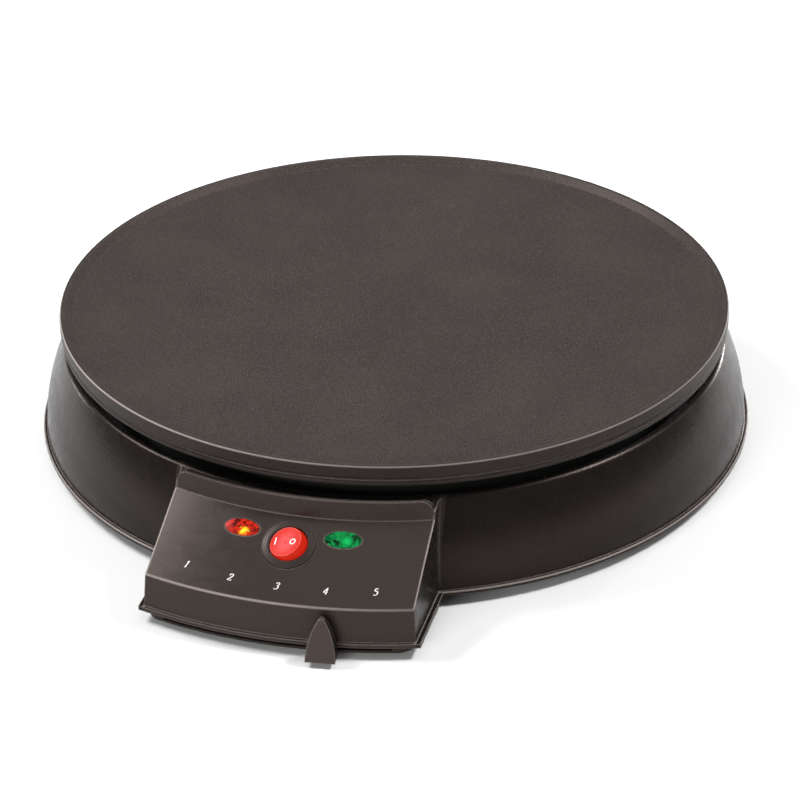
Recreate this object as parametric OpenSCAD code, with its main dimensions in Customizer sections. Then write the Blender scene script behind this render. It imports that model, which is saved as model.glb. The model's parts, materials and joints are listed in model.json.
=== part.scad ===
// Electric crepe maker: round hot plate on a plastic base with a control housing.
// Heights are measured from the underside of the base's flange; +Z is up, the housing faces -Y,
// and placed() stands each piece on its feet.

/* [Hot plate] */
// Outer radius of the hot plate
plate_r = 155; // [150:0.5:160]
// Clearance between the shell and the hot plate's lip
plate_gap = 6.6; // [6:0.1:8]
// Height of the hot plate's outer wall
rim_h = 10; // [9:0.5:12]
// Width of the rim round the cooking surface
rim_w = 5.7; // [5:0.1:7]
// Depth of the cooking surface below the rim
cook_depth = 3; // [2:0.25:4]
// Height of the bead along the wall's lower edge
bead_h = 2.2; // [1.8:0.1:2.6]
// Thickness of the hot plate
plate_t = 5; // [4.5:0.25:5.5]

/* [Base shell] */
// Height of the flange's underside above the table
foot_h = 5; // [4:0.5:8]
// How far the skirt's foot stands out from the hot plate's edge
skirt_out = 9.5; // [9:0.1:10.2]
// How far the flange stands out from the skirt
flange_w = 1.7; // [1.3:0.1:2.5]
// Thickness of the flange
flange_t = 2; // [1.5:0.1:3]
// Radius of the skirt's bulge, seen in section
bulge_r = 84; // [80:1:100]
// Height of the shoulder above the flange's underside
shell_h = 42; // [41:0.25:43]
// Rounding of the shoulder
shoulder_r = 3; // [2.7:0.1:3.5]
// How far the well's wall lies inside the hot plate's edge
well_in = 4.6; // [4.2:0.1:5.5]
// Wall of the shell
wall = 2.4; // [2:0.1:2.8]
// Depth of the well's inner wall
well_depth = 12; // [10:0.5:13]
// Inward width of the ledge under the heat shield
ledge_w = 6; // [4:0.5:8]

/* [Control housing] */
// How far the panel's upper edge lies inside the skirt's foot
panel_in = 2.3; // [1.5:0.1:3]
// Height of the panel's upper edge
panel_top_z = 36.2; // [35.5:0.1:37]
// Length of the panel, seen from above
panel_run = 38.5; // [36:0.1:39.3]
// Height of the panel's lower edge
panel_low_z = 17; // [16:0.1:18]
// How far the front face stands out at the flange
face_out = 2; // [1.3:0.1:2.3]
// Half of the housing's width at the flange
cheek_low = 59.6; // [59:0.1:60.5]
// How much each side leans in up to the panel's upper edge
cheek_draft = 2.1; // [1.6:0.1:3.6]
// Radius of the fillet between the housing's sides and the skirt
fillet_r = 3.4; // [2.8:0.1:3.8]
// How far the housing's flange stands out in front
lip = 1.2; // [0.8:0.1:1.4]
// How far the housing's flange stands out at its sides
side_lip = 2.2; // [1.8:0.1:2.4]
// Rounding of the panel's lower edge
edge_r = 1.4; // [0.8:0.1:2]
// Height of the splash guard above the panel's upper edge
guard_h = 8.8; // [7:0.1:9.4]
// Thickness of the splash guard
guard_t = 2; // [1.6:0.1:2.4]
// Rounding of the splash guard's upper corners
guard_corner = 5; // [3:0.5:7]
// Height of the trough behind the splash guard
trough_z = 35; // [34:0.5:36]

/* [Heating] */
// Radius of the heating ring
ring_r = 90; // [88:0.5:92]
// Radius of the heating tube
tube_r = 3.3; // [3:0.1:3.5]
// Opening between the two ends of the ring
ring_gap = 24; // [20:1:30]
// Length of the turned-down ends
cold_end = 12; // [10:0.5:14]
// Radius of the ring tube's bends
bend_r = 5; // [4.5:0.5:6]
// Thickness of the heat shield
shield_t = 0.8; // [0.6:0.1:1]
// Width of the heat shield's sloping edge
shield_edge = 16.4; // [14.4:0.1:20.4]
// Radius of the heat shield's middle hole
shield_hole_r = 34; // [32:0.5:40]

/* [Carrying studs] */
// Number of studs
stud_n = 3; // [3:1:3]
// Distance of the studs from the hot plate's edge
stud_in = 35; // [33:0.5:39]
// Radius of a stud
stud_r = 2.4; // [2:0.1:2.6]
// Outer radius of the bosses and bushes round the studs
stud_boss_r = 6; // [5.5:0.1:7]
// Height of the base plate's stud bosses
stud_boss_h = 22; // [20:0.5:24]

/* [Base plate] */
// Thickness of the base plate
base_t = 2; // [1.8:0.1:2.4]
// Depth of the lever's tray below the flange
tray_d = 2.8; // [2.6:0.1:3.2]
// How far the tray stands out from the front face
tray_out = 0.2; // [0:0.05:0.4]
// Distance of the tray's sides from the housing's sides
tray_in = 1; // [0.6:0.1:2.6]
// Rounding of the tray's corners
tray_corner = 9; // [6:0.5:11]
// Thickness of the tray's floor
tray_floor = 1.1; // [1:0.05:1.2]
// Thickness of the tray's wall
tray_wall = 1.4; // [1.2:0.1:1.8]
// Radius of the rubber feet
foot_r = 9; // [7:0.5:11]
// Distance of the feet's middles from the skirt's foot
foot_in = 24.5; // [21.5:0.5:30.5]

/* [Thermostat lever] */
// Angle between two numbers on the panel
step_deg = 6.2; // [6:0.05:6.4]
// Number at which the lever stands
setting = 4; // [4:1:4]
// Width of the lever's arm
arm_w = 12; // [9:0.5:13]
// Thickness of the lever's arm
arm_t = 1.2; // [1:0.05:1.25]
// Height of the arm's underside over the base plate
arm_z = 5; // [4.5:0.1:5.5]
// Half of the pointer's width
pointer_w = 6.4; // [6:0.05:6.8]
// Height of the pointer
pointer_h = 17.8; // [16:0.1:18]
// Depth of the pointer at its foot
pointer_d = 8.1; // [6:0.1:9]
// Depth of the pointer at its tip
pointer_tip_d = 1.8; // [1.4:0.1:3]
// Radius of the thermostat's case
stat_r = 15; // [13:0.5:17]
// Height of the thermostat's case
stat_h = 18; // [16:0.5:20]
// Radius of the thermostat's spindle
spindle_r = 3; // [2.5:0.1:3.5]

/* [Switch and lamps] */
// Outer radius of the switch's bezel
bezel_r = 11.5; // [11:0.1:12]
// Height of the bezel above the panel
bezel_h = 1; // [0.8:0.1:1.4]
// Radius of the switch's case
switch_r = 9.9; // [9.5:0.1:10.2]
// Depth of the switch's case below the panel
switch_d = 15; // [13:0.5:16]
// Radius of the rocker's rounded sides
rocker_r = 8.2; // [8:0.05:8.4]
// Tilt of the rocker in each position
rocker_tilt = 16; // [12:0.5:17]
// Distance of the switch from the panel's upper edge
switch_at = 14.5; // [14:0.1:15]
// Half of a lens's width
lens_w = 7.9; // [7:0.1:9]
// Half of a lens's height
lens_h = 4; // [3.5:0.1:4.5]
// Distance of a lens from the middle of the panel
lens_out = 22.15; // [21.6:0.05:24]
// Distance of the lenses from the panel's upper edge
lens_at = 9.7; // [8.5:0.1:11]

/* [Hidden] */
$fn = 96;
STEPS = 6;

play = 0.15;            // clearance between two fixed pieces
run = 0.06;             // running clearance of a pin in its hole
seat = 0.3;             // gap between a resting piece and its seat
skirt_r = plate_r + skirt_out;
flange_r = skirt_r + flange_w;
well_r = plate_r - well_in;
cook_r = plate_r - rim_w;
panel_top_r = skirt_r - panel_in;
panel_low_r = panel_top_r + panel_run;
front_r = panel_low_r + face_out;
cheek_top = cheek_low - cheek_draft;
tray_r = front_r + tray_out;
tray_w = cheek_low - tray_in;
shield_top_r = well_r - shield_edge;
stud_ring = plate_r - stud_in;
foot_ring = skirt_r - foot_in;
slope = atan2(panel_top_z - panel_low_z, panel_low_r - panel_top_r);
lip_z = shell_h + plate_gap;
rim_z = lip_z + rim_h;
cook_z = rim_z - cook_depth;
plate_z = cook_z - plate_t;
bulge_x = skirt_r - bulge_r;
shoulder_a = asin((shell_h - shoulder_r) / (bulge_r - shoulder_r));
shoulder_x = bulge_x + (bulge_r - shoulder_r) * cos(shoulder_a);
ledge_z = shell_h - well_depth;
element_z = plate_z - tube_r - 0.1;
clamp_z = element_z - tube_r - 0.1;
cold_low = element_z - bend_r - cold_end;
strap_t = 1;
clamp_at = [45, 135, 225, 315];
clamp_out = 10;
clamp_ring = [ring_r - clamp_out, ring_r + clamp_out];
clamp_w = 9;
clamp_boss_r = 3.5;
screw_r = 1.5;
rest_deg = (setting - 3) * step_deg;
sweep_deg = 2 * step_deg + 1.9;
base_screw_at = [30, 90, 150, 210, 270, 330];
base_screw_ring = skirt_r - 12.5;
tray_screw = [cheek_low - 7.6, skirt_r + 3.5];
rib_rings = [60, stud_ring - 15, foot_ring + 7];
slot_l = 20;
slot_w = 3;
post_r = 4.2;
post_h = 24;
base_screw_l = 13;
tray_screw_l = 11;
fuse_ring = 60;
gland_z = 12;
gland_bore = 3.6;
gland_mouth = 5;
gland_boss_l = 6;
pivot_h = -1.5;
tray_step_r = skirt_r - 7.5;
well_t = 2;
well_edge = 0.8;
flange_edge = 0.5;
guard_lean = 0.9;
crest_in = 1.2;
crest_h = 3;
fillet_sweep = 34;
roof_z = trough_z - wall;
hollow_r = well_r + well_t + 0.8;
housing_root = well_r + well_t + 2.4;
pilot = screw_r + 0.05;
head_r = 2.9;
head_h = 1.5;
cross = [3.4, 0.8, 0.6];
shield_z = clamp_z - strap_t - head_h - 0.5 - shield_t;
bracket_t = 1.2;
bracket_z = plate_z - 7.6;
bracket_half = 26;
bracket_w = 14;
bracket_end = 5;
sensor_r = 6;
stat_tab = [6, 9];
stud_at = [for (i = [0:stud_n - 1]) 60 + i * 360 / stud_n];
stud_top = plate_z - 6;
nut_r = 4.5;
nut_h = 4;
nut_pocket = 7.3;
stud_low = nut_pocket - nut_h - 1;
bush_r = stud_boss_r - 1;
stem_r = 3;
arm_low = tray_floor - tray_d + 0.2;
tab_w = 7;
tab_end = front_r + lip + 5.2;
pointer_back = front_r + lip + 0.3;
pointer_low = 0.2 - tray_d;
pin_r = 1.2;
pin_l = 2 * switch_r - 2;
crank_r = skirt_r + 3.5;
crank_l = 18;
arm_tail = 8;
hub_r = spindle_r + 4.5;
hub_h = 9;
arm_screw_l = 10;
collar = [spindle_r + 2, 2];
spindle_in = 6;
pointer_side_r = 32;
rocker_bore = rocker_r + 0.25;
rocker_low = 4;
bore_depth = 8;
bezel_sink = 0.45;
bezel_top = 0.8;
rocker_face = 3.4;
dish_r = 40;
lens_dome = 60;
lens_rise = 0.3;
lens_deg = asin(lens_out / (panel_top_r + lens_at * cos(slope)));
lens_seat = [1.2, 1, 1.1];
lamp_r = 2.5;
lamp_l = 12;
holder_top = -wall - 1.3;
holder_size = [14, 7.2, 8];
lamp_z = holder_top - 3.2;
window = [10, 4];
gland_r = 6;
bead_in = 0.4;
gland_pad = skirt_r + 0.3;
gland_end = gland_pad + gland_mouth + 0.2;
reach = (pointer_back + pointer_d) * cos(rest_deg) + pointer_w * sin(rest_deg);
mid_y = (gland_end - reach) / 2;
block_at = [45, stud_ring - 8];
block_pitch = [11, 5];
barrel_r = 3.6;
wire_r = 1.8;
clamping_r = 2;
clamping_h = 4;
block_size = [34, 18, 12];
fuse_r = 2.4;
fuse_l = 36;
fuse_at = 90;
fuse_hold = 7;
fuse_boss_r = 2.8;
fuse_clip_z = plate_z - 2 * fuse_r - 0.3;
tab_size = [4.8, 0.8, 7];
tab_pitch = 5;
end_pin = [1.6, 3];
black = [0.13, 0.12, 0.12];
steel = [0.7, 0.7, 0.72];

// Small helpers

// Turns children to a bearing counted from the middle of the housing
module at(deg) rotate(deg) children();

// Puts children out at a radius towards the housing side
module out(r, z = 0) translate([0, -r, z]) children();

// Puts children on the panel's surface, with +Z along its normal and +Y uphill
module on_panel(deg, along)
    at(deg) out(panel_top_r + along * cos(slope), panel_top_z - along * sin(slope))
        rotate([slope, 0, 0]) children();

// Revolves a section drawn as [radius, height] points
module revolve(pts, angle = 360) rotate_extrude(angle = angle, $fn = 180) polygon(pts);

// Extrudes a section drawn as [distance towards -Y, height] points to a width
module slab(pts, w)
    rotate([0, 0, -90]) rotate([90, 0, 0]) translate([0, 0, -w / 2])
        linear_extrude(w) polygon(pts);

module tube(r, hole, h) difference() {
    cylinder(r = r, h = h);
    translate([0, 0, -1]) cylinder(r = hole, h = h + 2);
}

function unit(v) = v / norm(v);
function arc(c, r, a0, a1, n = STEPS) =
    [for (i = [0:n]) c + r * [cos(a0 + (a1 - a0) * i / n), sin(a0 + (a1 - a0) * i / n)]];
// Corner p between a and b, rounded to radius r
function corner(a, p, b, r) =
    r <= 0 ? [p] :
    let (u = unit(a - p), v = unit(b - p), half = acos(u * v) / 2,
         c = p + unit(u + v) * r / sin(half), s = p + u * r / tan(half) - c,
         e = p + v * r / tan(half) - c, a0 = atan2(s.y, s.x),
         turn = (((atan2(e.y, e.x) - a0) % 360 + 540) % 360) - 180)
    arc(c, r, a0, a0 + turn);
// Polygon whose points are [x, y, corner radius]
function rounded(p) =
    let (n = len(p), q = [for (v = p) [v.x, v.y]])
    [for (i = [0:n - 1]) each corner(q[(i + n - 1) % n], q[i], q[(i + 1) % n], p[i].z)];
function oval(a, b, n = 40) = [for (i = [0:n - 1]) [a * cos(360 * i / n), b * sin(360 * i / n)]];

// Stands the piece on its feet, with the origin under the middle of its outline
module placed() translate([0, -mid_y, foot_h]) children();

// ---- Base shell ----

// Half of the housing's width at a height
function cheek(z) = cheek_low + (cheek_top - cheek_low) * z / panel_top_z;

// Prism between the two drafted cheeks, moved in by a margin
module between_cheeks(margin = 0, top = shell_h + 20) {
    low = cheek(-2) - margin;
    high = cheek(top) - margin;
    rotate([90, 0, 0]) linear_extrude(front_r + 20)
        polygon([[-low, -2], [low, -2], [high, top], [-high, top]]);
}

module shell_ring() {
    a_in = acos((well_r + well_t - bulge_x) / (bulge_r - wall));
    revolve(concat(
        rounded([[skirt_r - 1, 0, 0], [flange_r, 0, flange_edge], [flange_r, flange_t, flange_edge],
            [skirt_r - 1, flange_t, 0]])));
    revolve(concat(
        arc([bulge_x, 0], bulge_r, 0, shoulder_a, 14),
        arc([shoulder_x, shell_h - shoulder_r], shoulder_r, shoulder_a, 90),
        arc([well_r + well_edge, shell_h - well_edge], well_edge, 90, 180, 3),
        [[well_r, ledge_z], [well_r - ledge_w, ledge_z], [well_r - ledge_w, ledge_z - well_t],
            [well_r + well_t, ledge_z - well_t]],
        arc([bulge_x, 0], bulge_r - wall, a_in, 0, 14)));
}

module housing_solid() {
    intersection() {
        revolve(rounded([[housing_root, 0, 0], [front_r, 0, 0], [panel_low_r, panel_low_z, edge_r],
            [panel_top_r, panel_top_z, 0], [panel_top_r - guard_t, trough_z, 0],
            [housing_root, trough_z, 0]]));
        between_cheeks();
    }
    intersection() {
        revolve([[housing_root, 0], [front_r + lip, 0], [front_r + lip, flange_t], [housing_root, flange_t]]);
        between_cheeks(-side_lip);
    }
}

// Guard wall along the panel's upper edge, with rounded upper corners
module splash_guard() {
    top = panel_top_z + guard_h;
    half = cheek(top) - 0.4;
    intersection() {
        revolve(rounded([[panel_top_r, panel_top_z - 0.3, 0], [panel_top_r - guard_lean, top, 0.6],
            [panel_top_r - guard_lean - guard_t, top, 0.6], [panel_top_r - guard_t - 0.3, roof_z + 1, 0],
            [panel_top_r - 0.3, roof_z + 1, 0]]));
        rotate([90, 0, 0]) linear_extrude(front_r)
            polygon(rounded([[-half, roof_z, 0], [half, roof_z, 0], [half, top, guard_corner],
                [-half, top, guard_corner]]));
    }
}

// Both ends of the edge that runs from the panel's corner up to the shoulder
function guard_crest() =
    [[sqrt(pow(shoulder_x, 2) - pow(cheek_top, 2)), shell_h - 0.2],
     [sqrt(pow(panel_top_r, 2) - pow(cheek_top, 2)) - crest_in, panel_top_z + crest_h]];

// Gusset that carries a cheek up to the shoulder
module cheek_gussets() {
    crest = guard_crest();
    foot = crest[1].x + crest_in;
    for (side = [-1, 1]) intersection() {
        slab([crest[0], crest[1], [foot + 0.2, panel_top_z], [foot + 4, panel_top_z - 4],
            [foot, roof_z - 3], [crest[0].x, roof_z - 3]], 2 * cheek_low);
        difference() {
            between_cheeks();
            between_cheeks(wall);
        }
        translate([side > 0 ? 0 : -cheek_low - 5, -front_r, 0]) cube([cheek_low + 5, front_r, shell_h]);
    }
}

// Fillets between the drafted cheeks and the skirt: each follows a circle through the corner's foot
// that has the corner's slope there and meets the corner again at the panel's upper edge
module cheek_fillets() {
    sink = 0.25;
    skirt_top = bulge_x + sqrt(pow(bulge_r, 2) - pow(panel_top_z, 2));
    foot = sqrt(pow(skirt_r, 2) - pow(cheek_low, 2));
    drop = foot - sqrt(pow(skirt_top, 2) - pow(cheek_top, 2));
    draft = atan(cheek_draft / panel_top_z);
    lean = atan(cheek_low / foot * tan(draft));
    bow = (pow(panel_top_z, 2) + pow(drop, 2)) / (2 * (panel_top_z * sin(lean) + drop * cos(lean)));
    turn = asin(cheek_low / skirt_r);
    crest = guard_crest();
    intersection() {
        for (m = [0, 1]) mirror([m, 0, 0]) translate([-cheek_low, 0, 0]) rotate([0, draft, 0])
            out(foot - bow * cos(lean), bow * sin(lean)) rotate([90, 0, -90]) rotate(-lean)
                rotate_extrude(angle = fillet_sweep, $fn = 180) translate([bow - sink, -sink])
                    polygon(concat(corner([1, 0], [0, 0], [-sin(turn), cos(turn)], fillet_r),
                        [[-wall / 2, -wall / 2]]));
        slab([[crest[0].x, flange_t / 2], crest[0], crest[1], [skirt_r, panel_low_z],
            [skirt_r, flange_t / 2]], 3 * cheek_low);
    }
}

module housing_hollow() {
    low_in = panel_low_z - wall / cos(slope) + wall * tan(slope);
    roof_r = panel_top_r + (panel_top_z - wall / cos(slope) - roof_z) / tan(slope);
    intersection() {
        revolve([[hollow_r, -1], [front_r - wall, -1], [panel_low_r - wall, low_in],
            [roof_r, roof_z], [hollow_r, roof_z]]);
        between_cheeks(wall);
    }
}

module shell_posts() {
    for (a = base_screw_at) at(a) {
        out(base_screw_ring, base_t) cylinder(r = post_r, h = post_h - base_t);
        slab([[base_screw_ring, base_t + 2], [skirt_r - wall / 2, base_t + 2],
            [skirt_r - wall / 2 - 4, post_h], [base_screw_ring, post_h]], 2.4);
    }
    for (side = [-1, 1]) {
        translate([side * tray_screw.x, -tray_screw.y, 0]) cylinder(r = post_r, h = panel_low_z);
        translate([side * tray_screw.x - (side < 0 ? cheek(0) - tray_screw.x - 1 : 0),
            -tray_screw.y - 1.2, 0]) cube([cheek(0) - tray_screw.x - 1, 2.4, panel_low_z - 1]);
    }
}

module post_bores() {
    for (a = base_screw_at) at(a) out(base_screw_ring, base_t - 1) cylinder(r = pilot, h = base_screw_l + 2);
    for (side = [-1, 1]) translate([side * tray_screw.x, -tray_screw.y, -1])
        cylinder(r = pilot, h = tray_screw_l + 2);
}

module base_shell() color(black) placed() difference() {
    union() {
        difference() {
            union() {
                shell_ring();
                housing_solid();
            }
            housing_hollow();
        }
        splash_guard();
        cheek_gussets();
        cheek_fillets();
        shell_posts();
        translate([0, skirt_r - gland_boss_l, gland_z]) rotate([-90, 0, 0])
            cylinder(r = gland_r + 3, h = gland_pad - skirt_r + gland_boss_l);
    }
    // Seat of the base plate
    translate([0, 0, -1]) cylinder(r = skirt_r - wall - play, h = base_t + 1, $fn = 180);
    post_bores();
    on_panel(0, switch_at) {
        translate([0, 0, -8]) cylinder(r = switch_r + play, h = 16);
        translate([0, 0, -bezel_sink]) cylinder(r = bezel_r + play, h = 6);
    }
    for (side = [-1, 1]) on_panel(side * lens_deg, lens_at) translate([0, 0, -6])
        linear_extrude(12) polygon(oval(lens_w + play, lens_h + play));
    translate([0, skirt_r - 2 * gland_boss_l, gland_z]) rotate([-90, 0, 0])
        cylinder(r = gland_r + play, h = 4 * gland_boss_l);
}

// ---- Base plate ----

// Outline of the lever's tray, moved in by a margin
module tray_outline(margin = 0) {
    r = tray_r - margin;
    w = tray_w - margin;
    edge = sqrt(r * r - w * w);
    c = tray_corner - margin;
    intersection() {
        circle(r = r, $fn = 180);
        polygon(rounded([[-w, -tray_step_r + 30, 0], [-w, -edge, c], [0, -r * r / edge, 0],
            [w, -edge, c], [w, -tray_step_r + 30, 0]]));
    }
}

module base_plate() color(black) placed() difference() {
    union() {
        cylinder(r = skirt_r - wall - seat, h = base_t, $fn = 180);
        difference() {
            translate([0, 0, -tray_d]) linear_extrude(tray_d) tray_outline();
            translate([0, 0, -tray_d - 1]) cylinder(r = tray_step_r, h = tray_d + 1, $fn = 180);
        }
        for (a = stud_at) at(a) out(stud_ring) cylinder(r = stud_boss_r, h = stud_boss_h);
        for (r = rib_rings) tube(r, r - base_t, base_t + 2);
    }
    difference() {
        translate([0, 0, tray_floor - tray_d]) linear_extrude(tray_d + base_t + 1)
            tray_outline(tray_wall);
        translate([0, 0, -tray_d]) cylinder(r = skirt_r - wall + 1, h = tray_d + base_t + 2, $fn = 180);
        for (side = [-1, 1]) translate([side * tray_screw.x, -tray_screw.y, -tray_d])
            cylinder(r = post_r, h = tray_d);
    }
    // Slot of the lever in the tray's front wall
    rotate(-90 - sweep_deg) rotate_extrude(angle = 2 * sweep_deg, $fn = 180)
        polygon([[tray_r - tray_wall - 1, tray_floor - tray_d], [tray_r + 1, tray_floor - tray_d],
            [tray_r + 1, 1], [tray_r - tray_wall - 1, 1]]);
    for (a = stud_at) at(a) out(stud_ring) {
        translate([0, 0, -1]) cylinder(r = nut_r + 0.3, h = nut_pocket + 1);
        cylinder(r = stud_r + run, h = stud_boss_h + 1);
    }
    for (a = base_screw_at) at(a) out(base_screw_ring, -1) cylinder(r = screw_r + play, h = base_t + 2);
    for (side = [-1, 1]) translate([side * tray_screw.x, -tray_screw.y, -tray_d - 1]) {
        cylinder(r = screw_r + play, h = tray_d + 2);
        cylinder(r = head_r + play, h = head_h + 1);
    }
    for (a = clamp_at) at(a) out(foot_ring, -1) cylinder(r = stem_r + play, h = base_t + 2);
    // Cooling slots
    for (a = [40:20:320]) at(a) out((rib_rings[0] + rib_rings[1] + slot_l) / 2, -1)
        translate([-slot_w / 2, 0, 0]) cube([slot_w, slot_l, base_t + 2]);
}

// ---- Hot plate ----

module hot_plate() color([0.3, 0.3, 0.3]) placed() difference() {
    union() {
        revolve(rounded([[0, plate_z, 0], [plate_r - 6.5, plate_z, 1.5], [plate_r - 4.5, lip_z, 0.6],
            [plate_r - bead_in, lip_z, 1], [plate_r - bead_in, lip_z + bead_h, 0.8],
            [plate_r - bead_in - 1, lip_z + bead_h + 0.2, 0.3],
            [plate_r - bead_in - 0.8, lip_z + bead_h + 1, 0.5],
            [plate_r, lip_z + bead_h + 2.2, 1], [plate_r, rim_z, 1], [plate_r - 2.2, rim_z, 0.8],
            [cook_r, cook_z, 1], [0, cook_z, 0]]));
        for (r = [ring_r - tube_r - 2, ring_r + tube_r + 0.2])
            revolve([[r, plate_z - 2], [r + 1.8, plate_z - 2], [r + 1.8, plate_z + 1], [r, plate_z + 1]]);
        for (a = stud_at) at(a) out(stud_ring, stud_top)
            cylinder(r = stud_boss_r, h = plate_z - stud_top + 1);
        for (a = clamp_at, r = clamp_ring) at(a) out(r, clamp_z)
            cylinder(r = clamp_boss_r, h = plate_z - clamp_z + 1);
        for (x = [-1, 1]) {
            translate([x * bracket_half, 0, bracket_z + bracket_t])
                cylinder(r = clamp_boss_r, h = plate_z - bracket_z);
            at(fuse_at) out(fuse_ring + x * fuse_hold, fuse_clip_z)
                cylinder(r = fuse_boss_r, h = plate_z - fuse_clip_z + 1);
        }
    }
    for (a = stud_at) at(a) out(stud_ring, stud_top - 1)
        cylinder(r = stud_r + run, h = plate_z - stud_top + 3.5);
    for (a = clamp_at, r = clamp_ring) at(a) out(r, clamp_z - 1)
        cylinder(r = pilot, h = plate_z - clamp_z + 2.6);
    for (x = [-1, 1]) {
        translate([x * bracket_half, 0, bracket_z]) cylinder(r = pilot, h = plate_z - bracket_z + 1.6);
        at(fuse_at) out(fuse_ring + x * fuse_hold, fuse_clip_z - 1)
            cylinder(r = pilot, h = plate_z - fuse_clip_z + 2.6);
    }
}

// Puts children under both ends of the ring, at a height
module at_cold_ends(z) for (side = [-1, 1])
    at(180 + side * ring_gap / 2) translate([-side * bend_r, -ring_r, z]) children();

// Ring tube whose two ends bend down through the heat shield
module heating_element() color(steel) placed() translate([0, 0, element_z]) {
    rotate(90 + ring_gap / 2) rotate_extrude(angle = 360 - ring_gap, $fn = 180)
        translate([ring_r, 0]) circle(r = tube_r);
    for (side = [-1, 1]) at(180 + side * ring_gap / 2) out(ring_r, -bend_r)
        rotate([90, 0, 90 + side * 90])
            rotate_extrude(angle = 90) translate([bend_r, 0]) circle(r = tube_r);
    at_cold_ends(-bend_r - cold_end) cylinder(r = tube_r, h = cold_end);
}

// Flat strap with a screw hole at each end, drawn along a radius
module strap(span, width, t, hole) difference() {
    translate([-width / 2, -span / 2 - 4, 0]) cube([width, span + 8, t]);
    for (y = [-1, 1]) translate([0, y * span / 2, -1]) cylinder(r = hole, h = t + 2);
}

module element_clamps() color(steel) placed()
    for (a = clamp_at) at(a) out(ring_r, clamp_z - strap_t)
        strap(2 * clamp_out, clamp_w, strap_t, screw_r + play);

module screw(shank, r = screw_r) {
    translate([0, 0, -head_h]) difference() {
        cylinder(r = head_r, h = head_h);
        for (a = [0, 90]) rotate(a) translate([-cross.x / 2, -cross.y / 2, -1])
            cube([cross.x, cross.y, 1 + cross.z]);
    }
    cylinder(r = r, h = shank);
}

module clamp_screws() color(steel) placed() {
    for (a = clamp_at, r = clamp_ring) at(a) out(r, clamp_z - strap_t) screw(plate_z - clamp_z + 2);
    for (x = [-1, 1]) at(fuse_at) out(fuse_ring + x * fuse_hold, fuse_clip_z - strap_t)
        screw(plate_z - fuse_clip_z + 2);
}

module heat_shield() color([0.6, 0.6, 0.6]) placed() difference() {
    revolve([[shield_hole_r, shield_z - 3], [shield_hole_r + shield_t, shield_z - 3],
        [shield_hole_r + shield_t, shield_z], [shield_top_r, shield_z],
        [well_r - ledge_w - 1, ledge_z + seat], [well_r - seat, ledge_z + seat],
        [well_r - seat, ledge_z + seat + shield_t], [well_r - ledge_w - 0.6, ledge_z + seat + shield_t],
        [shield_top_r + 0.4, shield_z + shield_t], [shield_hole_r, shield_z + shield_t]]);
    for (a = stud_at) at(a) out(stud_ring, shield_z - 5) cylinder(r = bush_r + 0.3, h = 10);
    at_cold_ends(shield_z - 5) cylinder(r = tube_r + 2, h = 10);
}

// ---- Studs ----

module plate_studs() color(steel) placed()
    for (a = stud_at) at(a) out(stud_ring, stud_low) cylinder(r = stud_r, h = plate_z + 2 - stud_low);

module stud_bushes() color([0.9, 0.88, 0.82]) placed()
    for (a = stud_at) at(a) out(stud_ring, stud_boss_h) tube(bush_r, stud_r + run, stud_top - stud_boss_h);

module stud_nuts() color(steel) placed()
    for (a = stud_at) at(a) out(stud_ring, nut_pocket - nut_h) difference() {
        cylinder(r = nut_r, h = nut_h, $fn = 6);
        translate([0, 0, -1]) cylinder(r = stud_r + run, h = nut_h + 2);
    }

// ---- Thermostat and lever ----

module thermostat_case() color([0.85, 0.8, 0.7]) placed() difference() {
    union() {
        translate([0, 0, bracket_z - stat_h]) cylinder(r = stat_r, h = stat_h);
        translate([0, 0, bracket_z]) cylinder(r = sensor_r, h = plate_z - bracket_z - seat);
        for (x = [-2, 1]) translate([x * stat_tab.x, stat_r - 2, bracket_z - stat_h + 4])
            cube([stat_tab.x, stat_tab.y, tab_size.y]);
    }
    translate([0, 0, bracket_z - stat_h - 1]) cylinder(r = spindle_r + run, h = spindle_in + 2);
}

module thermostat_bracket() color(steel) placed() difference() {
    translate([-bracket_half - bracket_end, -bracket_w / 2, bracket_z])
        cube([2 * (bracket_half + bracket_end), bracket_w, bracket_t]);
    translate([0, 0, bracket_z - 1]) cylinder(r = sensor_r + play, h = bracket_t + 2);
    for (x = [-1, 1]) translate([x * bracket_half, 0, bracket_z - 1])
        cylinder(r = screw_r + play, h = bracket_t + 2);
}

module bracket_screws() color(steel) placed()
    for (x = [-1, 1]) translate([x * bracket_half, 0, bracket_z]) screw(plate_z - bracket_z + 1);

module spindle() color(steel) placed() at(rest_deg) difference() {
    union() {
        translate([0, 0, arm_z]) cylinder(r = spindle_r, h = bracket_z - stat_h + spindle_in - arm_z);
        translate([0, 0, bracket_z - stat_h - seat - collar.y]) cylinder(r = collar.x, h = collar.y);
    }
    translate([0, 0, arm_z - 1]) cylinder(r = pilot, h = arm_screw_l + 2);
}

module lever_arm() color(steel) placed() at(rest_deg) difference() {
    union() {
        translate([0, 0, arm_z]) cylinder(r = hub_r, h = hub_h);
        slab([[-arm_tail, arm_z], [crank_r, arm_z], [crank_r + crank_l, arm_low], [front_r - 2, arm_low],
            [front_r - 2, arm_low + arm_t], [crank_r + crank_l + arm_t / 2, arm_low + arm_t],
            [crank_r + arm_t / 2, arm_z + arm_t], [-arm_tail, arm_z + arm_t]], arm_w);
        slab([[front_r - 3, arm_low], [tab_end, arm_low], [tab_end, arm_low + arm_t],
            [front_r - 3, arm_low + arm_t]], tab_w);
    }
    translate([0, 0, arm_z - 1]) cylinder(r = spindle_r + run, h = hub_h + 2);
}

module arm_screw() color(steel) placed() at(rest_deg) translate([0, 0, arm_z]) screw(arm_screw_l);

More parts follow.
